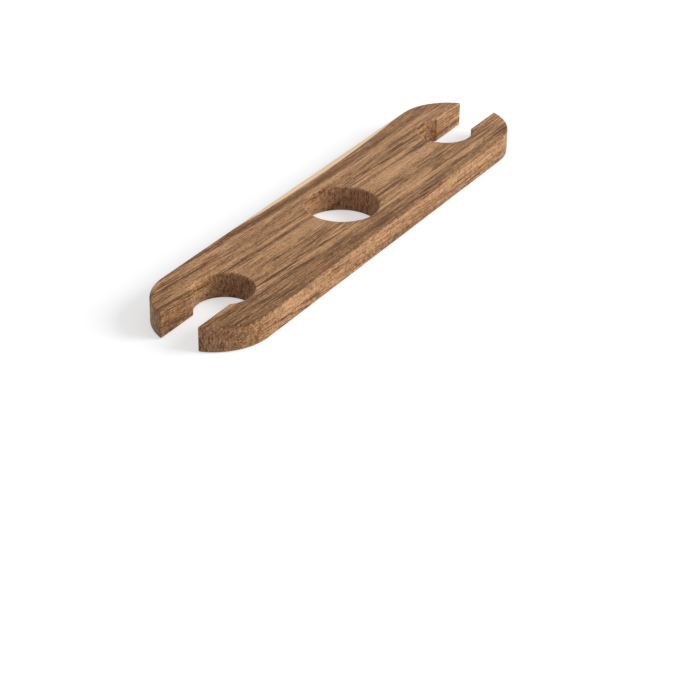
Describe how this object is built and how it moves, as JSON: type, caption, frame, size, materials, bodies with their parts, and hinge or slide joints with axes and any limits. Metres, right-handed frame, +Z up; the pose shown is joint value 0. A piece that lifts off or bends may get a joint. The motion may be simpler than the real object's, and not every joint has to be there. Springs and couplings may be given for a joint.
{
  "type": "bottle-top wine glass holder",
  "caption": "Flat round-ended wooden board with a hole that slides over a bottle's neck and keyhole slots in its ends that carry stemmed glasses by their feet.",
  "frame": {"origin": "on the underside, below the centre of the round hole, which is the middle of the board", "axes": "+X along the board's length, +Y across its width, +Z up out of the top face"},
  "size_m": [0.2664, 0.058, 0.013],
  "materials": {
    "oiled_acacia": "oiled solid acacia, satin, brown streaks with a pale sapwood edge"
  },
  "bodies": {
    "root": {"board": "oiled_acacia"}
  },
  "joints": []
}
